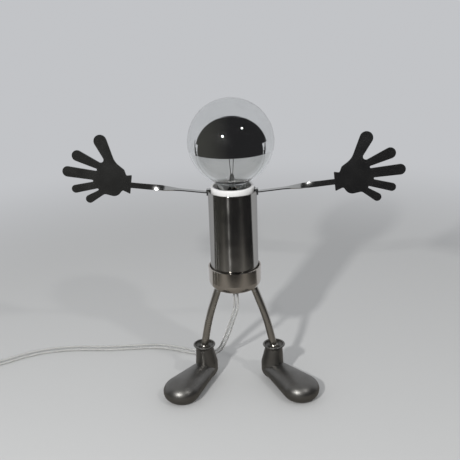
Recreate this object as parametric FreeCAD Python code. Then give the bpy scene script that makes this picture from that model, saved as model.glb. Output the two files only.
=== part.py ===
import FreeCAD, Part
import os
from math import acos, atan2, cos, degrees, hypot, pi, radians, sin, sqrt, tan
from FreeCAD import Matrix, Vector

# A small table lamp shaped like a standing figure. A globe bulb is the head, a chromed tube is the
# trunk, two flat arms with cut-out hands hook over the tube's rim, and two bent rod legs end in cast
# boots. All sizes are in millimetres. +Z is up, the figure faces -Y, and its left arm in this model,
# called left below, is the one at -X.

# The tube's axis, seen from the origin, which is the bottom centre of the lamp's box without its cord
AXIS_X = -0.44
AXIS_Y = 9.71

# Bulb: a 95 mm globe with a screw cap, silvered over its crown
GLOBE_RADIUS = 47.5
GLOBE_Z = 292.7
GLASS_WALL = 1.0
MIRROR_DROP = 7.7
MIRROR_COAT = 0.25
NECK_RADIUS = 17.5
NECK_TOP_Z = 250.5
NECK_FILLET = 4.0
CAP_RADIUS = 13.1
CAP_TOP_Z = 230.0
CAP_BOTTOM_Z = 208.0
BULB_TIP_Z = 202.3

# Body tube and the cup that it stands in
TUBE_RADIUS = 27.4
TUBE_WALL = 1.2
TUBE_TOP_Z = 238.0
TUBE_BOTTOM_Z = 134.0
CUP_RADIUS = 30.3
CUP_WALL = 2.0
CUP_RIM_Z = 149.0
CUP_BOTTOM_Z = 121.6
CUP_FLOOR = 3.0
CUP_CORNER = 11.0
COLLAR_WALL = 1.6
COLLAR_TOP_Z = 140.0

# Porcelain lampholder
HOLDER_RADIUS = 24.2
HOLDER_TOP_Z = 243.5
HOLDER_BOTTOM_Z = 182.0
SLEEVE_RADIUS = 14.2
SLEEVE_WALL = 0.7
SLEEVE_BOTTOM_Z = 204.0
SLEEVE_TOP_Z = 228.0
BRIDGE_THICKNESS = 2.0

# Hollow M10 tie rod through the lamp, with its nuts, washer and cord bush
ROD_RADIUS = 5.0
ROD_BORE = 4.0
ROD_TOP_Z = 184.0
ROD_BOTTOM_Z = 117.0
NUT_ACROSS_FLATS = 14.0
NUT_HEIGHT = 4.0
WASHER_RADIUS = 10.0
WASHER_THICKNESS = 1.2
BUSH_RADIUS = 6.5
BUSH_BOTTOM_Z = 113.5

# Arms: one stamped steel piece each, strip and hand together
STRIP_WIDTH = 6.4
STRIP_THICKNESS = 1.2
HOOK_CLEARANCE = 0.1
HOOK_DEPTH = 9.0
SHOULDER_Z = 236.0
LUG_DEPTH = 3.4
LUG_WIDTH = 2.8
TWIST_START_X = 56.0
TWIST_END_X = 98.0
WRIST_X = 106.0
WRIST_Z = 244.6
HAND_TURN = {"left": 1.6, "right": -1.6}

# The hand's outline as circles that straight edges touch, seen from the front with the wrist at (0, 0)
# and the fingers to the right: u, v, radius, with the radius negative where the outline is hollow
HAND_CIRCLES = [
    (8.6, -8.4, 0.8),
    (15.9, -7.8, -2.0),
    (26.4, -3.3, 9.0),
    (36.1, -14.2, -4.0),
    (53.9, -15.8, 4.65),
    (44.7, -4.8, -1.2),
    (69.1, -4.2, 4.6),
    (50.2, 5.25, -1.2),
    (76.8, 15.8, 6.0),
    (45.3, 18.1, -1.3),
    (64.8, 33.8, 6.2),
    (39.2, 29.5, -3.3),
    (38.4, 50.2, 7.3),
    (6.5, 38.0, -19.6),
    (16.0, 16.5, 3.0),
    (10.3, 13.2, -1.5),
    (6.2, 11.2, 0.9),
]

# Legs: bent rods from the cup's rounded corner to the boots
LEG_RADIUS = 4.35
LEG_TOP_X = {"left": -19.3, "right": 21.0}
LEG_KNEE_X = {"left": -32.7, "right": 35.7}
ANKLE_X = {"left": -39.4, "right": 43.7}
KNEE_Z = 80.0
ANKLE_Z = 42.5
ANKLE_BALL_RADIUS = 5.6
HIP_SCREW_RADIUS = 2.0
HIP_HEAD_RADIUS = 3.5
HIP_HEAD_HEIGHT = 2.6
GRUB_RADIUS = 1.2

# Boots: cast, with a tapered rounded foot, a tapered shaft and a flared mouth
BOOT_SPLAY = {"left": 27.5, "right": 36.0}
BOOT_TOP_Z = 46.5
MOUTH_RADIUS = 13.0
MOUTH_LIP = 1.2
THROAT_RADIUS = 10.3
THROAT_Z = 41.5
BOWL_RADIUS = 8.6
BOWL_DEPTH = 7.5
HEEL_RADIUS = 13.2
HEEL_BACK = 3.5
HEEL_LOW_Z = 12.6
HEEL_HIGH_Z = 20.5
TOE_RADIUS = 21.8
TOE_REACH = 54.4
FOOT_FLATTEN = 0.66
FOOT_TILT = 2.4
FOOT_Z = 13.0
SOLE_SCREW_RADIUS = 2.0
SOLE_HEAD_RADIUS = 4.0
SOLE_HEAD_HEIGHT = 3.0
SOLE_COUNTERBORE = 6.0
SOLE_CLEARANCE = 0.3

# Cord: clear flat twin lead, modelled round at its full width
CORD_RADIUS = 3.5
CORD_Z = 3.5
CORD_ROUTE = [
    (0.0, 0.0, 113.5),
    (0.0, 0.0, 106.0),
    (0.6, 3.0, 93.0),
    (-6.6, 15.0, 68.0),
    (-14.3, 28.0, 41.0),
    (-28.0, 50.5, 3.5),
    (-60.0, 58.0, 3.5),
    (-83.0, 68.0, 3.5),
    (-106.0, 74.0, 3.5),
    (-138.0, 72.0, 3.5),
    (-172.0, 68.0, 3.5),
    (-208.0, 70.0, 3.5),
    (-246.0, 65.5, 3.5),
    (-276.0, 53.5, 3.5),
    (-304.0, 32.0, 3.5),
    (-326.0, 20.5, 5.0),
    (-338.0, 20.0, 7.0),
    (-346.0, 20.0, 7.0),
]

# Inline rocker switch on the cord
SWITCH_X = -346.0
SWITCH_Y = 20.0
SWITCH_LENGTH = 60.0
SWITCH_WIDTH = 26.0
SWITCH_HEIGHT = 16.0
SWITCH_SPLIT_Z = 7.0
SWITCH_WALL = 2.0
SWITCH_CORNER = 5.0
ROCKER_LENGTH = 18.0
ROCKER_WIDTH = 10.0
ROCKER_TILT = 8.0
ROCKER_PIN_Z = 13.0
ROCKER_PIN_RADIUS = 1.2

# Coil of the length that is put away, its tie, and the two-pin plug
COIL_X = -447.0
COIL_OUTER = 42.0
COIL_INNER = 23.0
COIL_Y = SWITCH_Y - COIL_OUTER
COIL_BOTTOM_Z = 4.5
COIL_LAYER_STEP = 7.7
COIL_TURNS = 2.5
TIE_THICKNESS = 0.8
TIE_WIDTH = 8.0
TIE_CLEARANCE = 0.15
PLUG_X = -380.0
PLUG_Y = -75.5
PLUG_Z = 7.5
PLUG_TURN = -20.0
PLUG_LENGTH = 36.0
PLUG_WIDTH = 28.0
PLUG_THICKNESS = 15.0
PIN_RADIUS = 2.0
PIN_NECK_RADIUS = 1.5
PIN_NECK_LENGTH = 0.5
PIN_LENGTH = 19.0
PIN_SPACING = 18.6

UP = Vector(0, 0, 1)
ORIGIN = Vector(0, 0, 0)
SIDES = {"left": -1, "right": 1}
lamp_boxes = []


def save(node, shape, on_cord=False):
    """Moves a shape from the tube's axis to the model's origin and writes it as one node."""
    shape = shape.copy()
    shape.translate(Vector(AXIS_X, AXIS_Y, 0))
    if shape.ShapeType == "Compound" and len(shape.Solids) == 1:
        shape = shape.Solids[0]
    assert shape.isValid() and shape.Volume > 0, node
    if not on_cord:
        lamp_boxes.append(shape.optimalBoundingBox())
    shape.exportStep("parts/" + node + ".step")
    print("%-22s solids %2d  volume %10.1f mm3" % (node, len(shape.Solids), shape.Volume))


def cylinder(radius, low, high, x=0.0, y=0.0):
    """An upright cylinder between two heights."""
    return Part.makeCylinder(radius, high - low, Vector(x, y, low), UP)


def ring(outer, inner, low, high):
    """An upright round sleeve between two heights."""
    return cylinder(outer, low, high).cut(cylinder(inner, low - 1, high + 1))


def box(low, high):
    """A box between two corners."""
    size = [b - a for a, b in zip(low, high)]
    return Part.makeBox(size[0], size[1], size[2], Vector(*low))


def lathe(profile):
    """Turns a closed (radius, z) profile about the Z axis. An entry with four numbers is an arc: the
    point that it passes through, then its end."""
    edges = []
    start = Vector(profile[0][0], 0, profile[0][1])
    first = start
    for entry in profile[1:] + [profile[0][:2]]:
        end = Vector(entry[-2], 0, entry[-1])
        if len(entry) == 4:
            edges.append(Part.Arc(start, Vector(entry[0], 0, entry[1]), end).toShape())
        elif start.distanceToPoint(end) > 1e-7:
            edges.append(Part.LineSegment(start, end).toShape())
        start = end
    assert start.distanceToPoint(first) < 1e-7
    return Part.Face(Part.Wire(edges)).revolve(ORIGIN, UP, 360)


def hex_prism(across_flats, low, high):
    """An upright hexagon nut blank."""
    corner = across_flats / sqrt(3)
    points = [Vector(corner * cos(k * pi / 3), corner * sin(k * pi / 3), low) for k in range(7)]
    return Part.Face(Part.makePolygon(points)).extrude(Vector(0, 0, high - low))


def tube_along(edges, radius, start, direction):
    """Carries a circle along a wire of touching edges."""
    circle = Part.Wire(Part.makeCircle(radius, start, direction))
    return Part.Wire(edges).makePipeShell([circle], True, False)


def rounded_route(points, name):
    """Straight runs joined by the largest tangent arcs that the runs allow. Returns edges and length."""
    points = [Vector(*p) for p in points]
    edges = []
    radii = []
    start = points[0]
    for before, corner, after in zip(points, points[1:], points[2:]):
        run_in = corner - before
        run_out = after - corner
        turn = run_in.getAngle(run_out)
        reach = 0.45 * min(run_in.Length, run_out.Length)
        radius = reach / tan(turn / 2)
        radii.append(radius)
        a = Vector(run_in).normalize()
        b = Vector(run_out).normalize()
        arc_start = corner - a * reach
        arc_end = corner + b * reach
        middle = corner + (b - a).normalize() * (radius / cos(turn / 2) - radius)
        edges.append(Part.LineSegment(start, arc_start).toShape())
        edges.append(Part.Arc(arc_start, middle, arc_end).toShape())
        start = arc_end
    edges.append(Part.LineSegment(start, points[-1]).toShape())
    length = sum(e.Length for e in edges)
    print("%s: length %.1f, arc radii %s" % (name, length, " ".join("%.0f" % r for r in radii)))
    return edges, length


def cord_tube(points, name):
    """A cord's tube along its route, with its volume set against its section times its length."""
    edges, length = rounded_route(points, name)
    start = Vector(*points[0])
    direction = Vector(*points[1]) - start
    solid = tube_along(edges, CORD_RADIUS, start, direction)
    expected = pi * CORD_RADIUS ** 2 * length
    print("%s: volume %.1f, section times length %.1f" % (name, solid.Volume, expected))
    return solid


def arc_from_corner(start, corner, end):
    """The arc that touches start-corner at start and corner-end at end."""
    chord = end - start
    turn = (corner - start).getAngle(end - corner)
    middle = (start + end) * 0.5
    if turn < 1e-6:
        return Part.LineSegment(start, end).toShape()
    rise = 0.5 * chord.Length * tan(turn / 4)
    return Part.Arc(start, middle + (corner - middle).normalize() * rise, end).toShape()


def biarc(start, start_way, end, end_way):
    """Two arcs from start to end that leave and arrive along the given unit ways."""
    gap = end - start
    ways = start_way + end_way
    a = 2 * (start_way.dot(end_way) - 1)
    b = -2 * gap.dot(ways)
    c = gap.dot(gap)
    reach = (-b - sqrt(b * b - 4 * a * c)) / (2 * a)
    if reach < 0:
        reach = (-b + sqrt(b * b - 4 * a * c)) / (2 * a)
    first = start + start_way * reach
    last = end - end_way * reach
    joint = (first + last) * 0.5
    return [arc_from_corner(start, first, joint), arc_from_corner(joint, last, end)]


def neck_to_globe(globe, neck, fillet):
    """Profile entries up a neck and over a hollow round on to a globe of this radius."""
    x = neck + fillet
    rise = sqrt((globe + fillet) ** 2 - x ** 2)
    share = globe / (globe + fillet)
    half = atan2(rise, x) / 2
    return [
        (neck, GLOBE_Z - rise),
        (x - fillet * cos(half), GLOBE_Z - rise + fillet * sin(half), x * share, GLOBE_Z - rise * share),
    ]


def bulb():
    """Globe with its neck, silvered crown, screw cap, insulator, tip contact and inner mount."""
    r = GLOBE_RADIUS
    side = [r * sin(pi / 4), GLOBE_Z + r * cos(pi / 4)]
    outer = lathe([
        (0, CAP_TOP_Z - 1.0),
        (CAP_RADIUS - 1.5, CAP_TOP_Z - 1.0),
        (CAP_RADIUS - 1.5, CAP_TOP_Z),
        (CAP_RADIUS + 0.3, CAP_TOP_Z + 1.5),
        (NECK_RADIUS - 0.6, NECK_TOP_Z - 8.0),
    ] + neck_to_globe(r, NECK_RADIUS, NECK_FILLET) + [
        (r * sin(1.6), GLOBE_Z - r * cos(1.6), side[0], side[1]),
        (r * sin(pi - 0.4), GLOBE_Z - r * cos(pi - 0.4), 0, GLOBE_Z + r),
    ])
    q = r - GLASS_WALL
    bore = NECK_RADIUS - GLASS_WALL
    inner = lathe([
        (0, CAP_TOP_Z + 3.0),
        (CAP_RADIUS - 1.6, CAP_TOP_Z + 3.0),
        (bore - 0.6, NECK_TOP_Z - 8.0),
    ] + neck_to_globe(q, bore, NECK_FILLET + GLASS_WALL) + [
        (q * sin(1.6), GLOBE_Z - q * cos(1.6), q * sin(pi / 4), GLOBE_Z + q * cos(pi / 4)),
        (q * sin(pi - 0.4), GLOBE_Z - q * cos(pi - 0.4), 0, GLOBE_Z + q),
    ])
    glass = outer.cut(inner)
    coat_outer = Part.makeSphere(q, Vector(0, 0, GLOBE_Z))
    coat_inner = Part.makeSphere(q - MIRROR_COAT, Vector(0, 0, GLOBE_Z))
    below = cylinder(r + 5, GLOBE_Z - r - 5, GLOBE_Z - MIRROR_DROP)
    save("bulb_glass", glass)
    save("bulb_mirror", coat_outer.cut(coat_inner).cut(below))

    ridges = [(CAP_RADIUS - 0.9, CAP_TOP_Z - 1.5)]
    pitch = 3.6
    z = CAP_TOP_Z - 2.5
    while z - pitch > CAP_BOTTOM_Z + 1.0:
        ridges.append((CAP_RADIUS - 0.9, z))
        ridges.append((CAP_RADIUS, z - pitch / 2, CAP_RADIUS - 0.9, z - pitch))
        z -= pitch
    wall = [(CAP_RADIUS - 0.9, CAP_TOP_Z)] + ridges + [(CAP_RADIUS - 0.9, CAP_BOTTOM_Z)]
    cap = lathe([(0, CAP_TOP_Z)] + wall + [(0, CAP_BOTTOM_Z)])
    hollow = cylinder(CAP_RADIUS - 1.5, CAP_BOTTOM_Z + 0.8, CAP_TOP_Z + 2)
    insulator = lathe([
        (4.6, BULB_TIP_Z + 1.4),
        (CAP_RADIUS - 1.6, CAP_BOTTOM_Z),
        (0, CAP_BOTTOM_Z),
        (0, BULB_TIP_Z + 1.4),
    ])
    tip = lathe([
        (0, BULB_TIP_Z),
        (3.0, BULB_TIP_Z),
        (4.4, BULB_TIP_Z + 0.6),
        (4.4, BULB_TIP_Z + 1.4),
        (0, BULB_TIP_Z + 1.4),
    ])
    cap = cap.cut(hollow).cut(outer)
    save("bulb_cap", cap)
    save("bulb_insulator", insulator)
    save("bulb_tip_contact", tip)

    stem_bottom = CAP_TOP_Z + 3.0
    stem_top = 256.0
    stem = lathe([
        (0, stem_bottom),
        (8.0, stem_bottom),
        (4.0, stem_bottom + 8.0),
        (2.6, stem_top - 3.0),
        (1.6, stem_top),
        (0, stem_top),
    ])
    lead_x = 3.0
    filament_z = 283.0
    wires = []
    for side in (-1, 1):
        low = Vector(side * 1.0, 0, stem_top - 1.0)
        high = Vector(side * lead_x, 0, filament_z)
        way = high - low
        wires.append(Part.makeCylinder(0.4, way.Length, low, way).cut(stem))
    bar = Part.makeCylinder(0.6, 2 * lead_x + 2, Vector(-lead_x - 1, 0, filament_z + 0.4), Vector(1, 0, 0))
    save("bulb_stem", stem)
    save("bulb_lead_wires", Part.makeCompound([w.cut(bar) for w in wires]))
    save("bulb_filament", bar)


def asin_angle(ratio):
    """The angle whose sine is the ratio."""
    return atan2(ratio, sqrt(1 - ratio * ratio))


def body_tube():
    """The chromed trunk, with its rim and foot eased."""
    wall = ring(TUBE_RADIUS, TUBE_RADIUS - TUBE_WALL, TUBE_BOTTOM_Z, TUBE_TOP_Z)
    rims = [e for e in wall.Edges if abs(e.BoundBox.ZMin - TUBE_TOP_Z) < 1e-6 and e.BoundBox.ZLength < 1e-6]
    save("body_tube", wall.makeFillet(0.3, rims))


def cup_profile():
    """The cup's outside down to its bottom, as profile entries from the rim."""
    corner = CUP_CORNER
    flat = CUP_RADIUS - corner
    middle = sin(pi / 4)
    return [
        (CUP_RADIUS, CUP_BOTTOM_Z + corner),
        (flat + corner * middle, CUP_BOTTOM_Z + corner - corner * middle, flat, CUP_BOTTOM_Z),
    ]


def leg_way(side):
    """A leg's top point on the cup, and the unit way up along the leg there."""
    top = Vector(LEG_TOP_X[side], 0, CUP_BOTTOM_Z)
    knee = Vector(LEG_KNEE_X[side], 0, KNEE_Z)
    return top, (top - knee).normalize()


def base_cup():
    """The turned cup: a thin rim round the tube, a collar inside the tube, and a floor."""
    inside = CUP_RADIUS - CUP_WALL
    collar = TUBE_RADIUS - TUBE_WALL
    floor_z = CUP_BOTTOM_Z + CUP_FLOOR
    cup = lathe([
        (0, floor_z),
        (collar - COLLAR_WALL, floor_z),
        (collar - COLLAR_WALL, COLLAR_TOP_Z),
        (collar - 0.4, COLLAR_TOP_Z),
        (collar, COLLAR_TOP_Z - 0.4),
        (collar, TUBE_BOTTOM_Z),
        (inside, TUBE_BOTTOM_Z),
        (inside, CUP_RIM_Z - 0.5),
        (inside + 0.5, CUP_RIM_Z),
        (CUP_RADIUS - 0.5, CUP_RIM_Z),
        (CUP_RADIUS, CUP_RIM_Z - 0.5),
    ] + cup_profile() + [(0, CUP_BOTTOM_Z)])
    cup = cup.cut(cylinder(ROD_RADIUS, CUP_BOTTOM_Z - 1, floor_z + 1))
    for side in SIDES:
        top, way = leg_way(side)
        cup = cup.cut(Part.makeCylinder(HIP_SCREW_RADIUS, 12, top - way * 6, way))
        seat = top + way * (CUP_FLOOR - 1.0)
        cup = cup.cut(Part.makeCylinder(HIP_HEAD_RADIUS + 0.2, 8, seat, way))
    save("base_cup", cup)


def cup_envelope():
    """The cup's outside as a full solid, to end the legs on."""
    return lathe([(0, CUP_RIM_Z), (CUP_RADIUS, CUP_RIM_Z)] + cup_profile() + [(0, CUP_BOTTOM_Z)])


def lampholder():
    """Porcelain body, brass screw sleeve, centre contact, terminals, bridge and screws."""
    chamber = 15.5
    chamber_top = 196.0
    well_floor = 200.0
    screw_x = 19.0
    porcelain = lathe([
        (chamber, HOLDER_BOTTOM_Z),
        (21.6, HOLDER_BOTTOM_Z),
        (21.6, 206.0),
        (HOLDER_RADIUS, 212.0),
        (HOLDER_RADIUS, HOLDER_TOP_Z - 1.4),
        (HOLDER_RADIUS - 0.41, HOLDER_TOP_Z - 0.41, HOLDER_RADIUS - 1.4, HOLDER_TOP_Z),
        (22.0, HOLDER_TOP_Z),
        (21.1, HOLDER_TOP_Z - 0.4, 20.8, HOLDER_TOP_Z - 1.2),
        (20.0, 232.0),
        (SLEEVE_RADIUS, 228.6),
        (SLEEVE_RADIUS, well_floor),
        (2.0, well_floor),
        (2.0, chamber_top),
        (chamber, chamber_top),
    ])
    bridge_low = HOLDER_BOTTOM_Z - BRIDGE_THICKNESS
    for side in (-1, 1):
        porcelain = porcelain.cut(cylinder(1.5, HOLDER_BOTTOM_Z - 1, HOLDER_BOTTOM_Z + 10, side * screw_x))
    save("lampholder_body", porcelain)

    sleeve = ring(SLEEVE_RADIUS, SLEEVE_RADIUS - SLEEVE_WALL, SLEEVE_BOTTOM_Z, SLEEVE_TOP_Z)
    save("lampholder_sleeve", sleeve)

    contact = cylinder(2.0, chamber_top - 0.8, well_floor)
    contact = contact.fuse(cylinder(5.0, well_floor, well_floor + 0.8))
    contact = contact.fuse(cylinder(2.6, well_floor + 0.8, BULB_TIP_Z - 0.1))
    save("lampholder_contact", contact.removeSplitter())

    blocks = []
    screws = []
    for side in (-1, 1):
        x = side * 9.0
        block = box((x - 3.0, -2.5, 189.0), (x + 3.0, 2.5, chamber_top))
        block = block.cut(cylinder(1.0, 188.0, 193.0, x))
        bore = Part.makeCylinder(1.5, 3.5, Vector(x, -3.5, 193.5), Vector(0, 1, 0))
        blocks.append(block.cut(bore))
        shank = Part.makeCylinder(1.5, 1.5, Vector(x, -2.5, 193.5), Vector(0, 1, 0))
        head = Part.makeCylinder(2.4, 1.8, Vector(x, -4.3, 193.5), Vector(0, 1, 0))
        screws.append(shank.fuse(head).removeSplitter())
    save("terminal_blocks", Part.makeCompound(blocks))
    save("terminal_screws", Part.makeCompound(screws))

    bridge = ring(21.4, ROD_RADIUS, bridge_low, HOLDER_BOTTOM_Z)
    bridge = bridge.common(box((-21.5, -9.0, bridge_low), (21.5, 9.0, HOLDER_BOTTOM_Z)))
    fixings = []
    for side in (-1, 1):
        bridge = bridge.cut(cylinder(1.5, bridge_low - 1, HOLDER_BOTTOM_Z + 1, side * screw_x))
        shank = cylinder(1.5, bridge_low, HOLDER_BOTTOM_Z + 8, side * screw_x)
        head = cylinder(2.4, bridge_low - 1.8, bridge_low, side * screw_x)
        fixings.append(shank.fuse(head).removeSplitter())
    save("holder_bridge", bridge)
    save("bridge_screws", Part.makeCompound(fixings))
    return bridge_low


def tie_rod(bridge_low):
    """Hollow rod, its two nuts, the washer, the cord bush and the lead inside."""
    floor_z = CUP_BOTTOM_Z + CUP_FLOOR
    save("tie_rod", ring(ROD_RADIUS, ROD_BORE, ROD_BOTTOM_Z, ROD_TOP_Z))
    save("rod_washer", ring(WASHER_RADIUS, ROD_RADIUS, floor_z, floor_z + WASHER_THICKNESS))
    low = floor_z + WASHER_THICKNESS
    for node, z in (("rod_nut_lower", low), ("rod_nut_upper", bridge_low - NUT_HEIGHT)):
        nut = hex_prism(NUT_ACROSS_FLATS, z, z + NUT_HEIGHT)
        save(node, nut.cut(cylinder(ROD_RADIUS, z - 1, z + NUT_HEIGHT + 1)))
    bush = lathe([
        (CORD_RADIUS, BUSH_BOTTOM_Z),
        (BUSH_RADIUS - 1.2, BUSH_BOTTOM_Z),
        (BUSH_RADIUS, BUSH_BOTTOM_Z + 2.0),
        (BUSH_RADIUS, CUP_BOTTOM_Z),
        (ROD_RADIUS, CUP_BOTTOM_Z),
        (ROD_RADIUS, ROD_BOTTOM_Z),
        (CORD_RADIUS, ROD_BOTTOM_Z),
    ])
    save("cord_bush", bush)
    lead_top = 184.4
    turn_z = 187.4
    terminal_x = 9.0
    save("lead_in_rod", cylinder(CORD_RADIUS, BUSH_BOTTOM_Z, lead_top))
    wires = []
    for side in (-1, 1):
        points = [
            (side * 1.6, 0, lead_top),
            (side * 1.6, 0, turn_z),
            (side * terminal_x, 0, turn_z),
            (side * terminal_x, 0, 190.5),
        ]
        edges, length = rounded_route(points, "lead wire")
        wires.append(tube_along(edges, 1.0, Vector(*points[0]), UP))
    save("lead_wires", Part.makeCompound(wires))


def hand_outline(circles):
    """A wire round circles that straight edges touch, with hollow corners where the radius is negative."""
    count = len(circles)
    normals = []
    for k in range(count):
        u1, v1, r1 = circles[k]
        u2, v2, r2 = circles[(k + 1) % count]
        along = atan2(v2 - v1, u2 - u1)
        normals.append(along - acos((r1 - r2) / hypot(u2 - u1, v2 - v1)))
    touches = []
    for k in range(count):
        u, v, r = circles[k]
        turn_in = normals[k - 1]
        turn_out = normals[k]
        swing = (turn_out - turn_in) % (2 * pi)
        if r < 0:
            swing -= 2 * pi
        angles = (turn_in, turn_in + swing / 2, turn_in + swing)
        touches.append([Vector(u + r * cos(a), 0, v + r * sin(a)) for a in angles])
    edges = []
    for k in range(count):
        start, middle, end = touches[k]
        edges.append(Part.Arc(start, middle, end).toShape())
        edges.append(Part.LineSegment(end, touches[(k + 1) % count][0]).toShape())
    return Part.Wire(edges)


def strip_section(x, z, turn):
    """A rectangle across the strip at x, turned about the strip's own line."""
    wide = STRIP_WIDTH / 2
    thick = STRIP_THICKNESS / 2
    corners = [(-wide, -thick), (wide, -thick), (wide, thick), (-wide, thick), (-wide, -thick)]
    c = cos(radians(turn))
    s = sin(radians(turn))
    return Part.makePolygon([Vector(x, a * c - b * s, z + a * s + b * c) for a, b in corners])


def arm(side):
    """Strip hooked over the tube's rim, twisted a quarter turn on its way to the flat hand."""
    half = STRIP_WIDTH / 2
    bridge_z = TUBE_TOP_Z + HOOK_CLEARANCE
    bridge_top = bridge_z + STRIP_THICKNESS
    inner_face = sqrt((TUBE_RADIUS - TUBE_WALL - HOOK_CLEARANCE) ** 2 - half ** 2)
    inner_end = inner_face - STRIP_THICKNESS
    outer_face = TUBE_RADIUS + HOOK_CLEARANCE
    outer_end = outer_face + STRIP_THICKNESS
    strip_low = SHOULDER_Z - STRIP_THICKNESS / 2
    flat_end = outer_end + 1.5
    piece = box((inner_end, -half, bridge_z), (outer_end, half, bridge_top))
    piece = piece.fuse(box((inner_end, -half, bridge_z - HOOK_DEPTH), (inner_face, half, bridge_z)))
    piece = piece.fuse(box((outer_face, -half, strip_low), (outer_end, half, bridge_z)))
    piece = piece.fuse(box((outer_end, -half, strip_low), (flat_end, half, strip_low + STRIP_THICKNESS)))
    lug = box((outer_face, -LUG_WIDTH / 2, strip_low - LUG_DEPTH), (outer_end, LUG_WIDTH / 2, strip_low))
    piece = piece.fuse(lug)

    slope = (WRIST_Z - SHOULDER_Z) / (WRIST_X - flat_end)

    def strip_z(x):
        return SHOULDER_Z + slope * (x - flat_end)

    sections = [(flat_end, 0), (TWIST_START_X, 0)]
    steps = 6
    for k in range(1, steps):
        share = k / steps
        turn = 90 * (3 * share ** 2 - 2 * share ** 3)
        sections.append((TWIST_START_X + (TWIST_END_X - TWIST_START_X) * share, turn))
    sections += [(TWIST_END_X, 90), (WRIST_X + 10, 90)]
    wires = [strip_section(x, strip_z(x), turn) for x, turn in sections]
    strip = Part.makeLoft(wires, True, True)
    plate = Part.Face(hand_outline(HAND_CIRCLES)).extrude(Vector(0, STRIP_THICKNESS, 0))
    plate.translate(Vector(WRIST_X, -STRIP_THICKNESS / 2, strip_z(WRIST_X)))
    plate.rotate(Vector(WRIST_X, 0, strip_z(WRIST_X)), Vector(0, -1, 0), HAND_TURN[side])
    piece = piece.fuse(strip).fuse(plate).removeSplitter()
    if side == "left":
        piece = piece.mirror(ORIGIN, Vector(1, 0, 0))
    save(side + "_arm", piece)


def leg(side, envelope):
    """Bent rod, with a hole up its top for the hip screw and a flat end in the ankle ball."""
    top, way = leg_way(side)
    ankle = Vector(ANKLE_X[side], 0, ANKLE_Z)
    knee = Vector(LEG_KNEE_X[side], 0, KNEE_Z)
    start = top + way * 6
    edges, length = rounded_route([tuple(start), tuple(knee), tuple(ankle)], side + " leg")
    rod = tube_along(edges, LEG_RADIUS, start, way * -1)
    rod = rod.cut(envelope)
    hole = Part.makeCylinder(HIP_SCREW_RADIUS, 16, top - way * 10, way)
    grub_start = Vector(top.x, -LEG_RADIUS, 0) - Vector(way.x, 0, 0) * 5
    grub_start.z = top.z - way.z * 5
    grub = Part.makeCylinder(GRUB_RADIUS, LEG_RADIUS - HIP_SCREW_RADIUS, grub_start, Vector(0, 1, 0))
    cutter = Part.makeCylinder(GRUB_RADIUS, LEG_RADIUS + 1, grub_start - Vector(0, 1, 0), Vector(0, 1, 0))
    save(side + "_leg", rod.cut(hole).cut(cutter))

    seat = top + way * (CUP_FLOOR - 1.0)
    shank = Part.makeCylinder(HIP_SCREW_RADIUS, CUP_FLOOR - 1.0 + 10, top - way * 10, way)
    head = Part.makeCylinder(HIP_HEAD_RADIUS, HIP_HEAD_HEIGHT, seat, way)
    screw = shank.fuse(head).removeSplitter()
    grub = grub.common(rod).cut(Part.makeCylinder(HIP_SCREW_RADIUS, 16, top - way * 10, way))
    ball = Part.makeSphere(ANKLE_BALL_RADIUS, ankle)
    ball = ball.cut(cylinder(8, ANKLE_Z - 10, ANKLE_Z - 3.4, ankle.x))
    ball = ball.cut(rod).cut(cylinder(SOLE_SCREW_RADIUS, ANKLE_Z - 6, ANKLE_Z - 1.2, ankle.x))
    return screw, grub, ball


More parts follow.
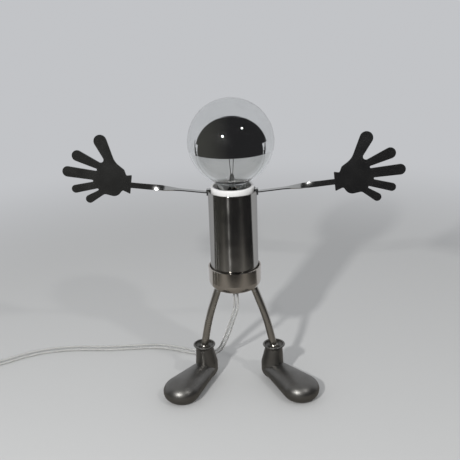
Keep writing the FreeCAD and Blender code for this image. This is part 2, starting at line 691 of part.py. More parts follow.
def boot(side):
    """Rounded tapered foot, tapered shaft, flared mouth, and a bore for the sole screw. The toe points
    along +X here and is turned out to its place afterwards."""
    grow = asin_angle((TOE_RADIUS - HEEL_RADIUS) / TOE_REACH)
    heel = Vector(-HEEL_RADIUS * sin(grow), 0, HEEL_RADIUS * cos(grow))
    toe = Vector(TOE_REACH - TOE_RADIUS * sin(grow), 0, TOE_RADIUS * cos(grow))
    heel_mid = (pi + (pi / 2 + grow)) / 2
    toe_mid = (pi / 2 + grow) / 2
    edges = [
        Part.Arc(
            Vector(-HEEL_RADIUS, 0, 0),
            Vector(HEEL_RADIUS * cos(heel_mid), 0, HEEL_RADIUS * sin(heel_mid)),
            heel,
        ).toShape(),
        Part.LineSegment(heel, toe).toShape(),
        Part.Arc(
            toe,
            Vector(TOE_REACH + TOE_RADIUS * cos(toe_mid), 0, TOE_RADIUS * sin(toe_mid)),
            Vector(TOE_REACH + TOE_RADIUS, 0, 0),
        ).toShape(),
        Part.LineSegment(Vector(TOE_REACH + TOE_RADIUS, 0, 0), Vector(-HEEL_RADIUS, 0, 0)).toShape(),
    ]
    foot = Part.Face(Part.Wire(edges)).revolve(ORIGIN, Vector(1, 0, 0), 360)
    flatten = Matrix()
    flatten.scale(1.0, 1.0, FOOT_FLATTEN)
    foot = foot.transformGeometry(flatten)
    foot.rotate(ORIGIN, Vector(0, 1, 0), FOOT_TILT)
    foot.translate(Vector(-HEEL_BACK, 0, FOOT_Z))

    heel_low = Vector(-HEEL_BACK, 0, HEEL_LOW_Z)
    heel_high = Vector(-HEEL_BACK, 0, HEEL_HIGH_Z)
    lean = Vector(0, 0, THROAT_Z) - heel_high
    shaft = Part.makeCone(HEEL_RADIUS, THROAT_RADIUS, lean.Length, heel_high, lean)
    shaft = shaft.fuse(Part.makeSphere(HEEL_RADIUS, heel_high))
    shaft = shaft.fuse(cylinder(HEEL_RADIUS, HEEL_LOW_Z, HEEL_HIGH_Z, -HEEL_BACK))
    shaft = shaft.fuse(Part.makeSphere(HEEL_RADIUS, heel_low))
    mouth = lathe([
        (0, THROAT_Z - 2.0),
        (THROAT_RADIUS, THROAT_Z - 2.0),
        (THROAT_RADIUS + 0.3, THROAT_Z + 1.5, MOUTH_RADIUS, BOOT_TOP_Z - MOUTH_LIP),
        (MOUTH_RADIUS + 0.1, BOOT_TOP_Z - MOUTH_LIP / 2, MOUTH_RADIUS - 0.5, BOOT_TOP_Z),
        (0, BOOT_TOP_Z),
    ])
    body = foot.fuse(shaft).fuse(mouth)
    body = body.common(box((-40, -40, 0), (90, 40, 80)))
    bowl = lathe([
        (0, BOOT_TOP_Z - BOWL_DEPTH),
        (5.2, BOOT_TOP_Z - BOWL_DEPTH),
        (BOWL_RADIUS - 1.0, BOOT_TOP_Z - BOWL_DEPTH + 3.0),
        (BOWL_RADIUS + 0.2, BOOT_TOP_Z - 4.0, MOUTH_RADIUS - 1.9, BOOT_TOP_Z),
        (0, BOOT_TOP_Z),
    ])
    body = body.cut(bowl)
    body = body.cut(cylinder(SOLE_SCREW_RADIUS + SOLE_CLEARANCE, -1, BOOT_TOP_Z))
    body = body.cut(cylinder(SOLE_HEAD_RADIUS + 0.4, -1, SOLE_COUNTERBORE))
    heading = -90 + SIDES[side] * BOOT_SPLAY[side]
    body.rotate(ORIGIN, UP, heading)
    body.translate(Vector(ANKLE_X[side], 0, 0))
    save(side + "_boot", body)

    x = ANKLE_X[side]
    head_low = 1.0
    head_high = head_low + SOLE_HEAD_HEIGHT
    screw = cylinder(SOLE_SCREW_RADIUS, head_high, ANKLE_Z - 1.2, x)
    head = cylinder(SOLE_HEAD_RADIUS, head_low, head_high, x)
    slot = box((x - 5, -0.5, 0), (x + 5, 0.5, head_low + 1.0))
    screw = screw.fuse(head).removeSplitter().cut(slot)
    washer = cylinder(SOLE_HEAD_RADIUS, head_high, SOLE_COUNTERBORE - 0.1, x)
    washer = washer.cut(cylinder(SOLE_SCREW_RADIUS, 0, 20, x))
    return screw, washer


def switch():
    """Inline rocker switch: two housing halves, rocker, pin, contacts and screws."""
    x0 = SWITCH_X - SWITCH_LENGTH
    x1 = SWITCH_X
    y0 = SWITCH_Y - SWITCH_WIDTH / 2
    y1 = SWITCH_Y + SWITCH_WIDTH / 2
    block = box((x0, y0, 0), (x1, y1, SWITCH_HEIGHT))
    uprights = [e for e in block.Edges if e.BoundBox.ZLength > SWITCH_HEIGHT - 1]
    block = block.makeFillet(SWITCH_CORNER, uprights)
    rims = [e for e in block.Edges if e.BoundBox.ZLength < 1e-6]
    block = block.makeFillet(1.6, rims)
    w = SWITCH_WALL
    hollow = box((x0 + w + 6, y0 + w, w), (x1 - w - 6, y1 - w, SWITCH_HEIGHT - w))
    middle = (x0 + x1) / 2
    window = box(
        (middle - ROCKER_LENGTH / 2 - 0.4, SWITCH_Y - ROCKER_WIDTH / 2 - 0.4, SWITCH_HEIGHT - w - 1),
        (middle + ROCKER_LENGTH / 2 + 0.4, SWITCH_Y + ROCKER_WIDTH / 2 + 0.4, SWITCH_HEIGHT + 1),
    )
    shell = block.cut(hollow).cut(window)
    pin_way = Vector(0, 1, 0)
    pin_start = Vector(middle, SWITCH_Y - ROCKER_WIDTH / 2 - 2.6, ROCKER_PIN_Z)
    pin = Part.makeCylinder(ROCKER_PIN_RADIUS, ROCKER_WIDTH + 5.2, pin_start, pin_way)
    ears = box(
        (middle - 3, SWITCH_Y - ROCKER_WIDTH / 2 - 2.6, ROCKER_PIN_Z - 3),
        (middle + 3, SWITCH_Y + ROCKER_WIDTH / 2 + 2.6, SWITCH_HEIGHT - w),
    )
    gap = box(
        (middle - 4, SWITCH_Y - ROCKER_WIDTH / 2 - 0.4, ROCKER_PIN_Z - 4),
        (middle + 4, SWITCH_Y + ROCKER_WIDTH / 2 + 0.4, SWITCH_HEIGHT),
    )
    screw_spots = [(x0 + 4.6, SWITCH_Y - 7.5), (x1 - 4.6, SWITCH_Y + 7.5)]
    lower = shell.common(box((x0 - 1, y0 - 1, -1), (x1 + 1, y1 + 1, SWITCH_SPLIT_Z)))
    upper = shell.common(box((x0 - 1, y0 - 1, SWITCH_SPLIT_Z), (x1 + 1, y1 + 1, SWITCH_HEIGHT + 1)))
    upper = upper.fuse(ears.cut(gap)).cut(pin)
    screws = []
    for x, y in screw_spots:
        lower = lower.cut(cylinder(1.3, -1, SWITCH_SPLIT_Z + 1, x, y)).cut(cylinder(2.4, -1, 2.2, x, y))
        upper = upper.cut(cylinder(1.3, SWITCH_SPLIT_Z - 1, SWITCH_SPLIT_Z + 6, x, y))
        screw = cylinder(1.3, 2.2, SWITCH_SPLIT_Z + 5.5, x, y)
        screws.append(screw.fuse(cylinder(2.4, 0.5, 2.2, x, y)).removeSplitter())
    save("switch_lower", lower, True)
    save("switch_upper", upper.removeSplitter(), True)
    save("switch_screws", Part.makeCompound(screws), True)

    # The rocker's top is two flats that meet over the pin, and its body is rounded about the pin
    length = ROCKER_LENGTH / 2
    rise = tan(radians(ROCKER_TILT)) * length
    top = SWITCH_HEIGHT + 0.6
    outline = Part.makePolygon([
        Vector(-length, 0, top + rise),
        Vector(0, 0, top),
        Vector(length, 0, top + rise),
        Vector(length - 1.2, 0, SWITCH_HEIGHT - 1.6),
        Vector(2.4, 0, ROCKER_PIN_Z - 2.2),
        Vector(-2.4, 0, ROCKER_PIN_Z - 2.2),
        Vector(-length + 1.2, 0, SWITCH_HEIGHT - 1.6),
        Vector(-length, 0, top + rise),
    ])
    rocker = Part.Face(outline).extrude(Vector(0, ROCKER_WIDTH - 0.2, 0))
    rocker.translate(Vector(middle, SWITCH_Y - ROCKER_WIDTH / 2 + 0.1, 0))
    hole = Part.makeCylinder(ROCKER_PIN_RADIUS + 0.05, 40, Vector(middle, y0 - 5, ROCKER_PIN_Z), pin_way)
    rocker = rocker.cut(hole)
    rocker.rotate(Vector(middle, SWITCH_Y, ROCKER_PIN_Z), pin_way, ROCKER_TILT)
    save("switch_rocker", rocker, True)
    save("switch_pin", pin, True)
    contacts = []
    for side in (-1, 1):
        x = middle + side * 9.0
        contacts.append(box((x - 3.0, SWITCH_Y - 3.0, w), (x + 3.0, SWITCH_Y + 3.0, w + 4.5)))
    save("switch_contacts", Part.makeCompound(contacts), True)


def coil_point(turn):
    """The coil's line after a number of turns: in on the first layer, up, and out on the second."""
    pitch = (COIL_OUTER - COIL_INNER) / COIL_TURNS
    angle = pi / 2 + 2 * pi * turn
    if turn <= COIL_TURNS:
        radius = COIL_OUTER - pitch * turn
        z = COIL_BOTTOM_Z
    elif turn < COIL_TURNS + 0.5:
        phase = 2 * pi * (turn - COIL_TURNS)
        radius = COIL_INNER - pitch / (2 * pi) * sin(phase)
        z = COIL_BOTTOM_Z + COIL_LAYER_STEP * (1 - cos(phase)) / 2
    else:
        radius = COIL_INNER + pitch * (turn - COIL_TURNS - 0.5)
        z = COIL_BOTTOM_Z + COIL_LAYER_STEP
    return Vector(COIL_X + radius * cos(angle), COIL_Y + radius * sin(angle), z)


def coil_way(turn):
    """The unit way along the coil's line."""
    step = 1e-5
    return (coil_point(turn + step) - coil_point(turn - step)).normalize()


def coil():
    """The coiled length as one unbroken tube, straight for a tube's width at each end."""
    total = 2 * COIL_TURNS + 0.5
    count = round(total * 4)
    stops = [k / 4 for k in range(count + 1)]
    points = [coil_point(t) for t in stops]
    ways = [coil_way(t) for t in stops]
    lead = 2 * CORD_RADIUS
    start = points[0] - ways[0] * lead
    end = points[-1] + ways[-1] * lead
    edges = [Part.LineSegment(start, points[0]).toShape()]
    for a, b, way_a, way_b in zip(points, points[1:], ways, ways[1:]):
        edges += biarc(a, way_a, b, way_b)
    edges.append(Part.LineSegment(points[-1], end).toShape())
    length = sum(e.Length for e in edges)
    solid = tube_along(edges, CORD_RADIUS, start, ways[0])
    samples = []
    travelled = 0.0
    for edge in edges:
        pieces = max(2, round(edge.Length / 2.0))
        for k in range(pieces):
            parameter = edge.FirstParameter + (edge.LastParameter - edge.FirstParameter) * k / pieces
            samples.append((travelled + edge.Length * k / pieces, edge.valueAt(parameter)))
        travelled += edge.Length
    gap = min(
        a.distanceToPoint(b)
        for s, a in samples
        for t, b in samples
        if t - s > 6 * CORD_RADIUS
    )
    print("coil: length %.1f, volume %.1f, section times length %.1f, least gap to itself %.2f"
          % (length, solid.Volume, pi * CORD_RADIUS ** 2 * length, gap - 2 * CORD_RADIUS))
    save("cord_coil", solid, True)
    return start, end, ways[0], ways[-1], length


def coil_tie():
    """A flat strap closed round one side of the coil."""
    t = TIE_THICKNESS
    c = TIE_CLEARANCE
    inner_x = COIL_INNER - CORD_RADIUS - c - 1.5
    outer_x = COIL_OUTER + CORD_RADIUS + c
    low = COIL_BOTTOM_Z - CORD_RADIUS - c
    high = COIL_BOTTOM_Z + COIL_LAYER_STEP + CORD_RADIUS + c
    half = TIE_WIDTH / 2
    corner = (inner_x - t, -half, low - t), (outer_x + t, half, high + t)
    band = box(*corner).cut(box((inner_x, -half - 1, low), (outer_x, half + 1, high)))
    band.translate(Vector(COIL_X, COIL_Y, 0))
    save("coil_tie", band, True)


def plug():
    """Flat two-pin plug body with its two pins."""
    half_w = PLUG_WIDTH / 2
    half_t = PLUG_THICKNESS / 2
    nose = 4.6
    points = [
        Vector(0, -nose, 0),
        Vector(14, -half_w, 0),
        Vector(PLUG_LENGTH, -half_w, 0),
        Vector(PLUG_LENGTH, half_w, 0),
        Vector(14, half_w, 0),
        Vector(0, nose, 0),
        Vector(0, -nose, 0),
    ]
    body = Part.Face(Part.makePolygon(points)).extrude(Vector(0, 0, PLUG_THICKNESS))
    body = body.makeFillet(3.0, [e for e in body.Edges if e.BoundBox.XLength > 1e-6])
    body.translate(Vector(0, 0, -half_t))
    pins = []
    for side in (-1, 1):
        y = side * PIN_SPACING / 2
        root = Vector(PLUG_LENGTH - 8, y, 0)
        neck = Part.makeCylinder(PIN_NECK_RADIUS, 8 + PIN_NECK_LENGTH, root, Vector(1, 0, 0))
        start = Vector(PLUG_LENGTH + PIN_NECK_LENGTH, y, 0)
        pin = Part.makeCylinder(PIN_RADIUS, PIN_LENGTH - PIN_NECK_LENGTH, start, Vector(1, 0, 0))
        tip = [e for e in pin.Edges if e.BoundBox.XLength < 1e-6 and e.BoundBox.XMin > start.x + 1]
        pin = pin.makeFillet(1.2, tip).fuse(neck)
        body = body.cut(neck)
        pins.append(pin)
    for piece in [body] + pins:
        piece.rotate(ORIGIN, UP, PLUG_TURN)
        piece.translate(Vector(PLUG_X, PLUG_Y, PLUG_Z))
    save("plug_body", body, True)
    save("plug_pins", Part.makeCompound(pins), True)


os.makedirs("parts", exist_ok=True)

bulb()
body_tube()
base_cup()
tie_rod(lampholder())
for side in SIDES:
    arm(side)

envelope = cup_envelope()
hip_screws = []
grubs = []
balls = []
sole_screws = []
washers = []
for side in SIDES:
    screw, grub, ball = leg(side, envelope)
    hip_screws.append(screw)
    grubs.append(grub)
    balls.append(ball)
    sole_screw, washer = boot(side)
    sole_screws.append(sole_screw)
    washers.append(washer)
save("hip_screws", Part.makeCompound(hip_screws))
save("leg_grub_screws", Part.makeCompound(grubs))
save("ankle_balls", Part.makeCompound(balls))
save("sole_screws", Part.makeCompound(sole_screws))
save("sole_washers", Part.makeCompound(washers))

save("cord_lead", cord_tube(CORD_ROUTE, "cord_lead"), True)
switch()
coil_start, coil_end, way_in, way_out, coil_length = coil()
switch_end = Vector(SWITCH_X - SWITCH_LENGTH, SWITCH_Y, 7.0)
middle_route = [
    tuple(switch_end),
    tuple(switch_end - Vector(8, 0, 0)),
    tuple(coil_start - way_in * 9),
    tuple(coil_start),
]
save("cord_middle", cord_tube(middle_route, "cord_middle"), True)
plug_way = Vector(cos(radians(PLUG_TURN)), sin(radians(PLUG_TURN)), 0)
plug_back = Vector(PLUG_X, PLUG_Y, PLUG_Z)
tail_route = [
    tuple(coil_end),
    tuple(coil_end + way_out * 16),
    (coil_end.x + 32.0, coil_end.y - 1.8, 9.4),
    tuple(plug_back - plug_way * 14),
    tuple(plug_back),
]
save("cord_tail", cord_tube(tail_route, "cord_tail"), True)
coil_tie()
plug()

low = [min(getattr(b, name) for b in lamp_boxes) for name in ("XMin", "YMin", "ZMin")]
high = [max(getattr(b, name) for b in lamp_boxes) for name in ("XMax", "YMax", "ZMax")]
print("lamp without its cord: from %s to %s" % (["%.2f" % x for x in low], ["%.2f" % x for x in high]))
print("box centre: %.2f, %.2f" % ((low[0] + high[0]) / 2, (low[1] + high[1]) / 2))
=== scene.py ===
"""A table lamp shaped like a standing figure, dressed for its CAD frame.

The bulb, tube, cup, arms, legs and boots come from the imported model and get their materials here. The
cord with its two conductors, and the tapered sleeves where it enters the switch and the plug, are made
in this script.
Lengths are in metres, +Z is up and the figure faces -Y.
"""
import math

import bpy
import numpy as np
from mathutils import Matrix, Vector


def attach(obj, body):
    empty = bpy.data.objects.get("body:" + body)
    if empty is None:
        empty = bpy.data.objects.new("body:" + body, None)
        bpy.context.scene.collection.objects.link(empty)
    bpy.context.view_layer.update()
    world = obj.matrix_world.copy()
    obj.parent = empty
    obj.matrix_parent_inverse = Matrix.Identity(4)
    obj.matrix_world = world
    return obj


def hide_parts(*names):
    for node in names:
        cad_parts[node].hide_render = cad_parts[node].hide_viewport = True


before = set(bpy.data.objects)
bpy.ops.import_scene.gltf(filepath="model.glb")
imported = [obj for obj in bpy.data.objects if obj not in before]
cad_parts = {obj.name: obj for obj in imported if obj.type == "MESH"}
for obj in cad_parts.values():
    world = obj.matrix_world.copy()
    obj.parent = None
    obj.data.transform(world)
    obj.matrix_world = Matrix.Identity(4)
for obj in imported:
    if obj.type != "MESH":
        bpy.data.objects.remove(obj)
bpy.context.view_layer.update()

MM = 0.001

# The tube's axis on the model's floor
AXIS_X = -0.44
AXIS_Y = 9.71

# Bulb's centre, which the lamps stand round
GLOBE_Z = 292.7

# Camera
CAMERA_PLACE = (44.8, -798.7, 478.2)
CAMERA_PITCH = 19.767
CAMERA_YAW = 3.5
CAMERA_ROLL = -1.954
CAMERA_LENS = 58.87

# Cord, as the part's source gives it: exit, floor, switch, coil and plug
CORD_WIDTH = 7.0
CORD_THICKNESS = 3.6
CONDUCTOR_REACH = 2.0
CONDUCTOR_RADIUS = 1.2
CONDUCTOR_STEPS = 12
CORD_ROUTE = [
    (0.0, 0.0, 113.5),
    (0.0, 0.0, 106.0),
    (0.6, 3.0, 93.0),
    (-6.6, 15.0, 68.0),
    (-14.3, 28.0, 41.0),
    (-28.0, 50.5, 3.5),
    (-60.0, 58.0, 3.5),
    (-83.0, 68.0, 3.5),
    (-106.0, 74.0, 3.5),
    (-138.0, 72.0, 3.5),
    (-172.0, 68.0, 3.5),
    (-208.0, 70.0, 3.5),
    (-246.0, 65.5, 3.5),
    (-276.0, 53.5, 3.5),
    (-304.0, 32.0, 3.5),
    (-326.0, 20.5, 5.0),
    (-338.0, 20.0, 7.0),
    (-346.0, 20.0, 7.0),
]
SWITCH_X = -346.0
SWITCH_LENGTH = 60.0
SWITCH_Y = 20.0
SWITCH_Z = 7.0
COIL_X = -447.0
COIL_OUTER = 42.0
COIL_INNER = 23.0
COIL_Y = SWITCH_Y - COIL_OUTER
COIL_BOTTOM_Z = 4.5
COIL_LAYER_STEP = 7.7
COIL_TURNS = 2.5
COIL_POINTS_PER_TURN = 16
PLUG_X = -380.0
PLUG_Y = -75.5
PLUG_Z = 7.5

# Where the cord rolls on to its edge, and the sleeves at the housings
ROLL_START = 30.0
ROLL_RUN = 120.0
ROLL_TURN = 78.0
SLEEVE_LENGTH = 26.0

# Surroundings
FLOOR_COLOUR = (0.56, 0.56, 0.55)
# REFLECTED_FLOOR, SCREEN_COLOUR, DARK_COLOUR and DARK_SIDE_COLOUR are painted reflections: only glossy rays
# see them
REFLECTED_FLOOR = (0.34, 0.32, 0.29)
BACKDROP_COLOUR = (0.54, 0.55, 0.57)
SCREEN_COLOUR = (0.56, 0.57, 0.59)
DARK_COLOUR = (0.02, 0.02, 0.021)
DARK_SIDE_COLOUR = (0.055, 0.055, 0.05)


def place(points):
    """Millimetres on the tube's axis to metres in the model's frame."""
    return (np.asarray(points, float) + [AXIS_X, AXIS_Y, 0.0]) * MM


def make_camera():
    """The photograph's view: a long lens about 0.85 m away, above the lamp and turned a little to its
    right, with a slight roll."""
    pitch = math.radians(CAMERA_PITCH)
    yaw = math.radians(CAMERA_YAW)
    roll = math.radians(CAMERA_ROLL)
    forward = Vector((0, math.cos(pitch), -math.sin(pitch)))
    right = forward.cross(Vector((0, 0, 1))).normalized()
    up = right.cross(forward)
    rolled_right = right * math.cos(roll) + up * math.sin(roll)
    rolled_up = up * math.cos(roll) - right * math.sin(roll)
    turn = Matrix.Rotation(yaw, 3, "Z")
    basis = Matrix((turn @ rolled_right, turn @ rolled_up, turn @ -forward)).transposed()
    data = bpy.data.cameras.new("camera")
    data.sensor_width = 36.0
    data.lens = CAMERA_LENS
    data.clip_start = 0.02
    data.clip_end = 50.0
    camera = bpy.data.objects.new("camera", data)
    bpy.context.collection.objects.link(camera)
    camera.matrix_world = Matrix.Translation(Vector(place(CAMERA_PLACE))) @ basis.to_4x4()
    bpy.context.scene.camera = camera


def mesh_object(name, vertices, faces, material, smooth=True):
    """A mesh object at the origin from an array of vertices and a list of faces."""
    mesh = bpy.data.meshes.new(name)
    mesh.from_pydata(np.asarray(vertices).tolist(), [], faces)
    mesh.polygons.foreach_set("use_smooth", np.full(len(mesh.polygons), smooth))
    mesh.materials.append(material)
    mesh.update()
    obj = bpy.data.objects.new(name, mesh)
    bpy.context.collection.objects.link(obj)
    return obj


def grid_faces(rows, columns):
    """Quads over a grid whose vertex index is row * columns + column, closed round each row."""
    r, c = np.meshgrid(np.arange(rows - 1), np.arange(columns), indexing="ij")
    c2 = (c + 1) % columns
    quads = [r * columns + c, r * columns + c2, (r + 1) * columns + c2, (r + 1) * columns + c]
    return np.stack(quads, -1).reshape(-1, 4).tolist()


def spline_points(points, resolution=8):
    """The points of a NURBS curve of order 3 whose control points are given, in metres."""
    curve = bpy.data.curves.new("route", "CURVE")
    curve.dimensions = "3D"
    curve.resolution_u = resolution
    spline = curve.splines.new("NURBS")
    spline.points.add(len(points) - 1)
    flat = np.column_stack([points, np.ones(len(points))]).ravel()
    spline.points.foreach_set("co", flat)
    spline.order_u = 3
    spline.use_endpoint_u = True
    holder = bpy.data.objects.new("route", curve)
    bpy.context.collection.objects.link(holder)
    mesh = bpy.data.meshes.new_from_object(holder)
    found = np.empty(len(mesh.vertices) * 3)
    mesh.vertices.foreach_get("co", found)
    bpy.data.objects.remove(holder)
    bpy.data.meshes.remove(mesh)
    return found.reshape(-1, 3)


def steady_frames(path, first_side):
    """Tangent, side and up vectors along a path, turned as little as possible from point to point."""
    step = np.gradient(path, axis=0)
    tangent = step / np.linalg.norm(step, axis=1)[:, None]
    sides = np.empty_like(path)
    side = np.asarray(first_side, float)
    for k, way in enumerate(tangent):
        side = side - way * side.dot(way)
        side = side / np.linalg.norm(side)
        sides[k] = side
    return tangent, sides, np.cross(tangent, sides)


def sweep(name, path, profile, material, sides, ups):
    """A closed profile (u, v) carried along a path: a point is path + u * side + v * up. Both ends are
    capped."""
    profile = np.asarray(profile, float)
    count = len(profile)
    rings = path[:, None] + profile[None, :, :1] * sides[:, None] + profile[None, :, 1:] * ups[:, None]
    last = (len(path) - 1) * count
    faces = grid_faces(len(path), count)
    faces.append(list(range(count - 1, -1, -1)))
    faces.append(list(range(last, last + count)))
    return mesh_object(name, rings.reshape(-1, 3), faces, material)


class Nodes:
    """A short way to build one material's nodes."""

    def __init__(self, name):
        self.material = bpy.data.materials.new(name)
        self.material.use_nodes = True
        self.tree = self.material.node_tree
        self.shader = self.tree.nodes["Principled BSDF"]

    def add(self, kind, **values):
        """A node of this kind with its inputs or settings given by name."""
        node = self.tree.nodes.new(kind)
        for key, value in values.items():
            label = key.replace("_", " ")
            if label in node.inputs:
                node.inputs[label].default_value = value
            else:
                setattr(node, key, value)
        return node

    def link(self, a, b):
        """Joins an output socket to an input socket."""
        self.tree.links.new(a, b)

    def set(self, **values):
        """Constants on the Principled shader's own sockets."""
        for key, value in values.items():
            self.shader.inputs[key.replace("_", " ")].default_value = value


def surface_group():
    """Group "wear": fine and coarse noise on Object coordinates. Inputs are the scales and the amounts,
    outputs a colour factor, a roughness offset and a height."""
    group = bpy.data.node_groups.new("wear", "ShaderNodeTree")
    for name, value in (("Coarse Scale", 40.0), ("Fine Scale", 900.0), ("Smudge", 0.1), ("Roughness", 0.1)):
        socket = group.interface.new_socket(name, in_out="INPUT", socket_type="NodeSocketFloat")
        socket.default_value = value
    group.interface.new_socket("Base", in_out="INPUT", socket_type="NodeSocketColor")
    group.interface.new_socket("Dark", in_out="INPUT", socket_type="NodeSocketColor")
    group.interface.new_socket("Colour", in_out="OUTPUT", socket_type="NodeSocketColor")
    group.interface.new_socket("Roughness", in_out="OUTPUT", socket_type="NodeSocketFloat")
    group.interface.new_socket("Height", in_out="OUTPUT", socket_type="NodeSocketFloat")
    n = group.nodes
    source = n.new("NodeGroupInput")
    target = n.new("NodeGroupOutput")
    place_node = n.new("ShaderNodeTexCoord")
    coarse = n.new("ShaderNodeTexNoise")
    coarse.inputs["Detail"].default_value = 4.0
    coarse.inputs["Roughness"].default_value = 0.6
    fine = n.new("ShaderNodeTexNoise")
    fine.inputs["Detail"].default_value = 3.0
    spread = n.new("ShaderNodeMapRange")
    spread.inputs["From Min"].default_value = 0.35
    spread.inputs["From Max"].default_value = 0.7
    smudge = n.new("ShaderNodeMath")
    smudge.operation = "MULTIPLY"
    mix = n.new("ShaderNodeMix")
    mix.data_type = "RGBA"
    offset = n.new("ShaderNodeMath")
    offset.operation = "MULTIPLY_ADD"
    links = group.links
    links.new(place_node.outputs["Object"], coarse.inputs["Vector"])
    links.new(place_node.outputs["Object"], fine.inputs["Vector"])
    links.new(source.outputs["Coarse Scale"], coarse.inputs["Scale"])
    links.new(source.outputs["Fine Scale"], fine.inputs["Scale"])
    links.new(coarse.outputs["Fac"], spread.inputs["Value"])
    links.new(spread.outputs["Result"], smudge.inputs[0])
    links.new(source.outputs["Smudge"], smudge.inputs[1])
    links.new(smudge.outputs[0], mix.inputs["Factor"])
    links.new(source.outputs["Base"], mix.inputs[6])
    links.new(source.outputs["Dark"], mix.inputs[7])
    links.new(spread.outputs["Result"], offset.inputs[0])
    offset.inputs[1].default_value = 0.08
    links.new(source.outputs["Roughness"], offset.inputs[2])
    links.new(mix.outputs[2], target.inputs["Colour"])
    links.new(offset.outputs[0], target.inputs["Roughness"])
    links.new(fine.outputs["Fac"], target.inputs["Height"])
    return group


def worn(name, base, dark, roughness, metallic, coarse=40.0, fine=900.0, smudge=0.3, bump=0.02, **extra):
    """A material whose colour, roughness and relief come from the wear group."""
    nodes = Nodes(name)
    group = nodes.tree.nodes.new("ShaderNodeGroup")
    group.node_tree = WEAR
    group.inputs["Coarse Scale"].default_value = coarse
    group.inputs["Fine Scale"].default_value = fine
    group.inputs["Smudge"].default_value = smudge
    group.inputs["Roughness"].default_value = roughness
    group.inputs["Base"].default_value = (*base, 1)
    group.inputs["Dark"].default_value = (*dark, 1)
    relief = nodes.add("ShaderNodeBump", Strength=bump, Distance=0.0005)
    nodes.link(group.outputs["Colour"], nodes.shader.inputs["Base Color"])
    nodes.link(group.outputs["Roughness"], nodes.shader.inputs["Roughness"])
    nodes.link(group.outputs["Height"], relief.inputs["Height"])
    nodes.link(relief.outputs["Normal"], nodes.shader.inputs["Normal"])
    nodes.set(Metallic=metallic, **extra)
    return nodes.material


WEAR = surface_group()

CHROME = worn("tube_chrome", (0.46, 0.45, 0.43), (0.42, 0.41, 0.39), 0.12, 1.0, smudge=0.2, bump=0.0,
              Anisotropic=1.0, Anisotropic_Rotation=0.25, Specular_Tint=(0.7, 0.7, 0.7, 1))
NICKEL = worn("cup_nickel", (0.53, 0.495, 0.45), (0.43, 0.4, 0.36), 0.1, 1.0, smudge=0.3, bump=0.01,
              Anisotropic=0.6, Anisotropic_Rotation=0.25)
for polished in (CHROME, NICKEL):
    tangent = polished.node_tree.nodes.new("ShaderNodeTangent")
    tangent.direction_type = "RADIAL"
    tangent.axis = "Z"
    shader = polished.node_tree.nodes["Principled BSDF"]
    polished.node_tree.links.new(tangent.outputs[0], shader.inputs["Tangent"])
ROD = worn("leg_nickel", (0.44, 0.42, 0.38), (0.33, 0.315, 0.29), 0.26, 1.0, smudge=0.3, bump=0.03)
ARM = worn("arm_black_nickel", (0.5, 0.5, 0.49), (0.4, 0.4, 0.39), 0.16, 1.0, smudge=0.3, bump=0.01)
PEWTER = worn("boot_pewter", (0.2, 0.195, 0.185), (0.15, 0.146, 0.138), 0.38, 1.0, coarse=60, fine=1500.0,
              smudge=0.5, bump=0.08)
PORCELAIN = worn("porcelain", (0.86, 0.85, 0.83), (0.78, 0.76, 0.73), 0.12, 0.0, smudge=0.3, bump=0.01,
                 Coat_Weight=0.6, Coat_Roughness=0.05)
STEEL = worn("fixings_steel", (0.6, 0.6, 0.6), (0.4, 0.4, 0.4), 0.3, 1.0, bump=0.02)
BRASS = worn("contact_brass", (0.75, 0.6, 0.3), (0.5, 0.38, 0.18), 0.3, 1.0, bump=0.02)
CAP = worn("cap_metal", (0.5, 0.34, 0.24), (0.34, 0.2, 0.13), 0.35, 1.0, bump=0.03)
BLACK_GLASS = worn("cap_insulator", (0.02, 0.02, 0.02), (0.04, 0.04, 0.04), 0.1, 0.0)
SOLDER = worn("solder", (0.5, 0.5, 0.48), (0.3, 0.3, 0.3), 0.4, 1.0)
WIRE = worn("wire_metal", (0.25, 0.23, 0.22), (0.12, 0.11, 0.1), 0.35, 1.0)
BLACK_PLASTIC = worn("bush_plastic", (0.04, 0.04, 0.04), (0.07, 0.07, 0.07), 0.4, 0.0)
TIE = worn("tie_black", (0.03, 0.03, 0.03), (0.06, 0.06, 0.06), 0.5, 0.0)
WHITE_PLASTIC = worn("switch_white", (0.82, 0.82, 0.8), (0.72, 0.71, 0.68), 0.3, 0.0, smudge=0.25, bump=0.01)


def clear_glass():
    """Clear bulb glass with a trace of dust."""
    nodes = Nodes("bulb_clear")
    nodes.set(Base_Color=(0.98, 0.99, 0.99, 1), Metallic=0.0, Transmission_Weight=1.0, IOR=1.45)
    noise = nodes.add("ShaderNodeTexNoise", Scale=300.0)
    ramp = nodes.add("ShaderNodeMapRange", From_Min=0.4, From_Max=0.8, To_Min=0.0, To_Max=0.03)
    where = nodes.add("ShaderNodeTexCoord")
    nodes.link(where.outputs["Object"], noise.inputs["Vector"])
    nodes.link(noise.outputs["Fac"], ramp.inputs["Value"])
    nodes.link(ramp.outputs["Result"], nodes.shader.inputs["Roughness"])
    return nodes.material


def silver_coat():
    """The mirror behind the crown's glass, a little uneven in tone and roughness."""
    nodes = Nodes("bulb_silver")
    nodes.set(Metallic=1.0)
    noise = nodes.add("ShaderNodeTexNoise", Scale=60.0)
    tint = nodes.add("ShaderNodeMapRange", To_Min=0.02, To_Max=0.05)
    where = nodes.add("ShaderNodeTexCoord")
    mix = nodes.add("ShaderNodeMix", data_type="RGBA")
    mix.inputs[6].default_value = (0.86, 0.86, 0.86, 1)
    mix.inputs[7].default_value = (0.76, 0.76, 0.76, 1)
    nodes.link(where.outputs["Object"], noise.inputs["Vector"])
    nodes.link(noise.outputs["Fac"], tint.inputs["Value"])
    nodes.link(noise.outputs["Fac"], mix.inputs["Factor"])
    nodes.link(mix.outputs[2], nodes.shader.inputs["Base Color"])
    nodes.link(tint.outputs["Result"], nodes.shader.inputs["Roughness"])
    return nodes.material


